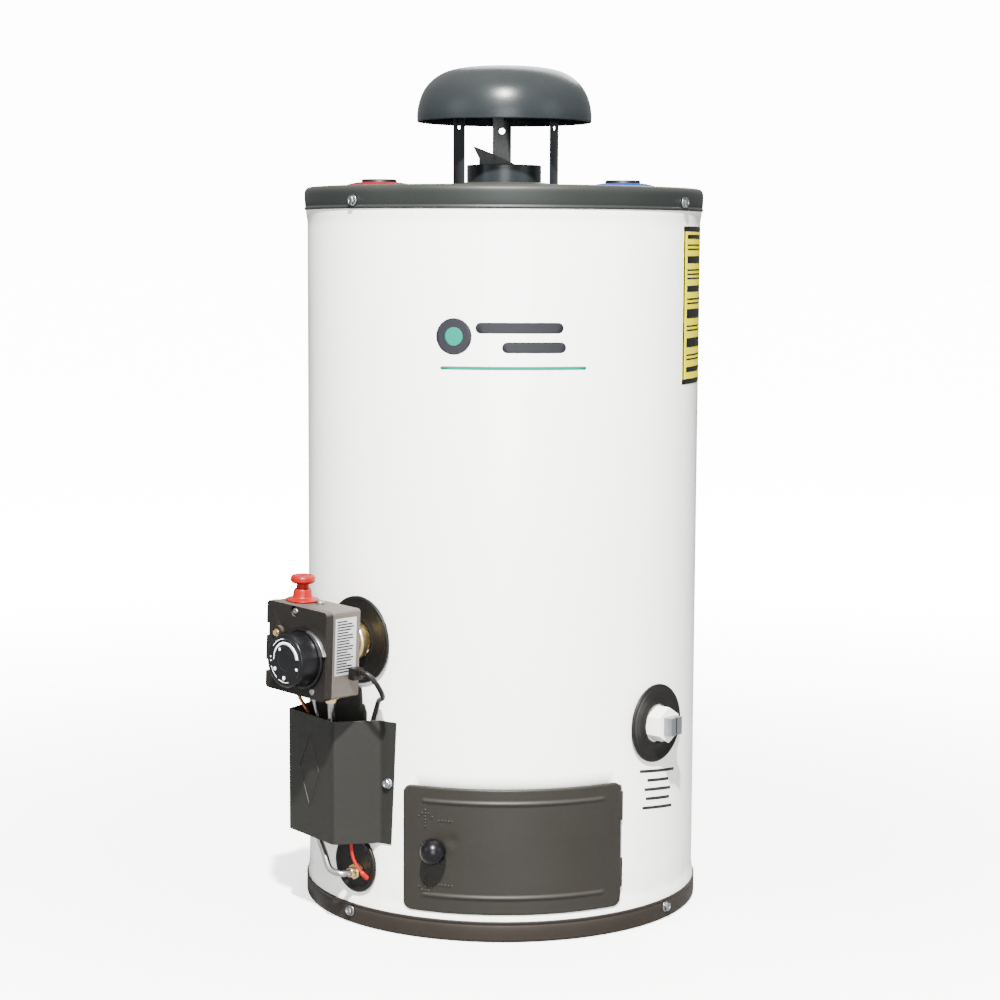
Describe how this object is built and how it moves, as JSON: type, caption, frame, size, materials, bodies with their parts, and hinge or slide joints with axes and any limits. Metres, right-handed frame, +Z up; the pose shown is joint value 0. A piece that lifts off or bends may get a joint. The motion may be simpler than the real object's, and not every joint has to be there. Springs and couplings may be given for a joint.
{
  "type": "tank water heater",
  "caption": "Upright gas storage water heater with a white jacket, dark bands, a round draught hood, a gas control with dial and button, an access door and a drain.",
  "frame": {"origin": "The middle of the base pan's underside, on the tank's axis, where the heater stands on the floor.", "axes": "+Z is up along the tank's axis; -Y is the front, where the access door is; +X is to the right as one faces the front."},
  "size_m": [0.4218, 0.4284, 0.83],
  "materials": {
    "jacket_enamel": "glossy white baked enamel",
    "cover_paint": "satin dark grey-green paint",
    "base_paint": "satin brown-grey paint",
    "hood_paint": "semi-gloss dark blue-grey paint",
    "door_paint": "satin dark grey paint",
    "guard_paint": "satin dark grey paint",
    "valve_paint": "fine-textured charcoal paint",
    "black_plastic": "moulded black plastic",
    "dial_plastic": "smooth black plastic",
    "cast_aluminium": "die-cast, fine blasted surface",
    "bare_aluminium": "plain drawn aluminium",
    "zinc": "bright zinc plate",
    "brass": "machined brass",
    "copper": null,
    "red_plastic": "smooth orange-red plastic",
    "hot_plastic": "smooth warm-red plastic",
    "cold_plastic": "smooth blue plastic",
    "red_lead": "red insulated lead",
    "black_lead": "black insulated lead",
    "white_plastic": "off-white plastic",
    "tank_steel": "vitreous-lined steel tank, blue-grey outside",
    "raw_steel": "uncoated or aluminised steel",
    "foam": null,
    "magnesium": "sacrificial magnesium rod and its steel hexagon head"
  },
  "bodies": {
    "root": {"base_pan": "base_paint", "jacket": "jacket_enamel", "top_cover": "cover_paint", "insulation": "foam", "tank_shell": "tank_steel", "tank_top_head": "tank_steel", "tank_bottom_head": "tank_steel", "flue_tube": "raw_steel", "flue_collar": "hood_paint", "flue_baffle": "raw_steel", "chamber_skirt": "raw_steel", "inner_door": "raw_steel", "burner": "raw_steel", "pilot_burner": "raw_steel", "dip_tube": "white_plastic", "anode_rod": "magnesium", "hot_coupling": "black_plastic", "hot_ring": "hot_plastic", "cold_coupling": "black_plastic", "cold_ring": "cold_plastic", "hood_dome": "hood_paint", "hood_leg_1": "hood_paint", "hood_leg_2": "hood_paint", "hood_leg_3": "hood_paint", "hinge_wire": "zinc", "drain_escutcheon": "black_plastic", "drain_body": "white_plastic", "port_plate": "black_plastic", "port_nut": "brass", "valve_spud": "brass", "thermostat_probe": "copper", "valve_escutcheon": "black_plastic", "valve_body": "cast_aluminium", "valve_cover": "valve_paint", "dial_index": "bare_aluminium", "button_collar": "red_plastic", "test_plug": "brass", "eco_connector": "black_plastic", "line_guard": "guard_paint", "guard_bracket": "guard_paint", "supply_tube": "bare_aluminium", "pilot_tube": "bare_aluminium", "thermocouple_lead": "copper", "eco_lead": "black_lead", "cutoff_lead": "red_lead", "top_cover_screw_1": "zinc", "base_screw_1": "zinc", "top_cover_screw_2": "zinc", "base_screw_2": "zinc", "top_cover_screw_3": "zinc", "base_screw_3": "zinc", "top_cover_screw_4": "zinc", "base_screw_4": "zinc", "guard_screw_1": "zinc", "guard_screw_2": "zinc"},
    "door": {"access_door": "door_paint"},
    "latch": {"door_latch": "dial_plastic"},
    "dial": {"dial": "dial_plastic"},
    "button": {"pilot_button": "red_plastic"},
    "drain_stem": {"drain_stem": "zinc"}
  },
  "joints": [
    {"name": "door_hinge", "type": "hinge", "parent": "root", "child": "door", "pos_m": [0.11468, -0.16048, 0.087], "axis": [0, 0, 1], "range_deg": [0, 110]},
    {"name": "latch_turn", "type": "hinge", "parent": "door", "child": "latch", "pos_m": [-0.06014, -0.19074, 0.089], "axis": [-0.3007, -0.9537, 0], "range_deg": [0, 90]},
    {"name": "dial_turn", "type": "hinge", "parent": "root", "child": "dial", "pos_m": [-0.19298, -0.20567, 0.27182], "axis": [-0.6947, -0.7193, 0], "range_deg": [-150, 120]},
    {"name": "button_press", "type": "slide", "parent": "root", "child": "button", "axis": [-0.0314, 0.0303, -0.999], "range_m": [0, 0.005], "stiffness_N_per_m": 400},
    {"name": "drain_turn", "type": "hinge", "parent": "root", "child": "drain_stem", "pos_m": [0.16097, -0.13796, 0.1976], "axis": [0.7593, -0.6508, 0], "range_deg": [0, 90]}
  ]
}
